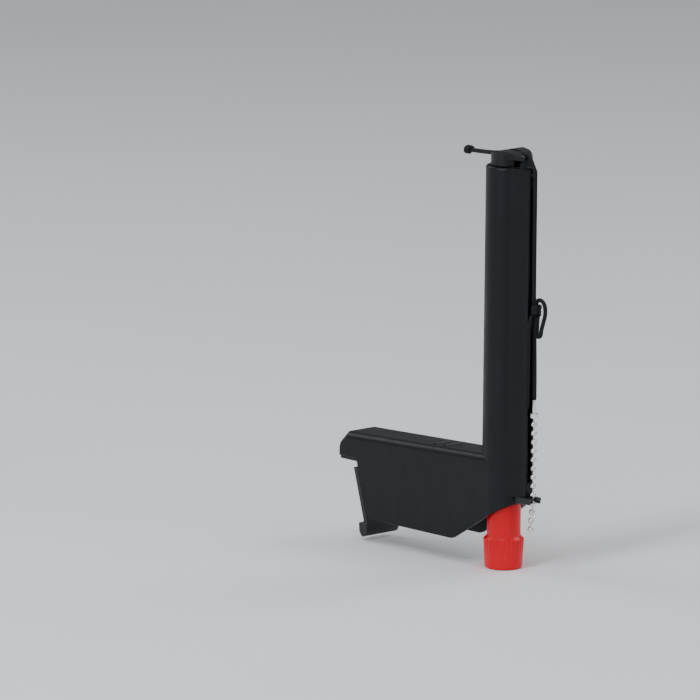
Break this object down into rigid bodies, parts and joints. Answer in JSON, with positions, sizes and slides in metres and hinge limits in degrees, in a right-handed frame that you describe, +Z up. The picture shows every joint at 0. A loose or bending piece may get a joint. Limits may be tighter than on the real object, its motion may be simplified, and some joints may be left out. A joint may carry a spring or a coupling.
{
  "type": "table tennis net clamp",
  "caption": "Net post with a clamp-jaw arm, screw-driven height slider, knurled adjuster knob and a knotted net tension cord held by a ball chain in a slotted catch.",
  "frame": {"origin": "middle of the rubber seat under the clamp jaw's upper lip, which rests on the table's undercarriage rail", "axes": "+X from the rail out to the post, away from the table's side; +Y along the table's length; +Z up, along the post"},
  "size_m": [0.1399, 0.023, 0.2151],
  "materials": {
    "black_shell": "moulded, fine matt texture",
    "red_knob": "moulded, fine texture",
    "slider_plastic": "moulded, satin",
    "black_steel": "black powder coat",
    "zinc_steel": "zinc plated",
    "brass": "turned",
    "nickel_chain": "nickel plated",
    "cord": "braided polyester",
    "rubber": "matt",
    "bearing_plastic": "acetal"
  },
  "bodies": {
    "bracket": {"bracket_housing": "black_shell", "jaw_pad": "rubber", "bearing_plate": "zinc_steel", "bearing_screws": "zinc_steel", "thrust_washer": "bearing_plastic", "top_guide": "bearing_plastic", "guide_screw": "black_steel", "chain_catch": "black_steel", "catch_screw": "black_steel", "ball_chain_upper": "nickel_chain", "chain_coupling": "nickel_chain", "cord_ferrule": "nickel_chain", "cord_drop_upper": "cord", "cord_drop_lower": "cord", "cord_knot": "cord", "cord_loop": "cord", "cord_tail_long": "cord", "cord_tail_short": "cord"},
    "hook": {"hook_plate": "black_steel", "hook_studs": "zinc_steel", "hook_washers": "zinc_steel", "hook_nuts": "zinc_steel"},
    "slider": {"slider_stem": "slider_plastic", "slider_head": "slider_plastic", "head_pin": "zinc_steel", "lift_nut": "brass", "cord_over_head": "cord", "cord_slope": "cord", "cord_stopper_knot": "cord"},
    "knob": {"height_knob": "red_knob", "knob_screw": "zinc_steel", "spindle": "zinc_steel", "spindle_clip": "zinc_steel"},
    "chain_tail": {"ball_chain_tail": "nickel_chain"}
  },
  "joints": [
    {"name": "height_knob_turn", "type": "hinge", "parent": "bracket", "child": "knob", "pos_m": [0.105, 0, -0.03], "axis": [0, 0, 1], "range_deg": [0, 2160]},
    {"name": "slider_lift", "type": "slide", "parent": "bracket", "child": "slider", "axis": [0, 0, 1], "range_m": [0, 0.012], "deforming": ["cord_slope"]},
    {"name": "hook_slide", "type": "slide", "parent": "bracket", "child": "hook", "axis": [0.2844, 0, -0.9587], "range_m": [0, 0.005]},
    {"name": "chain_tail_swing", "type": "hinge", "parent": "bracket", "child": "chain_tail", "pos_m": [0.126, 0, -0.00433], "axis": [0, 1, 0], "range_deg": [-60, 30]}
  ],
  "couplings": [
    {"joint": "height_knob_turn", "follows": "slider_lift", "rad_per_m": 3141.6}
  ]
}
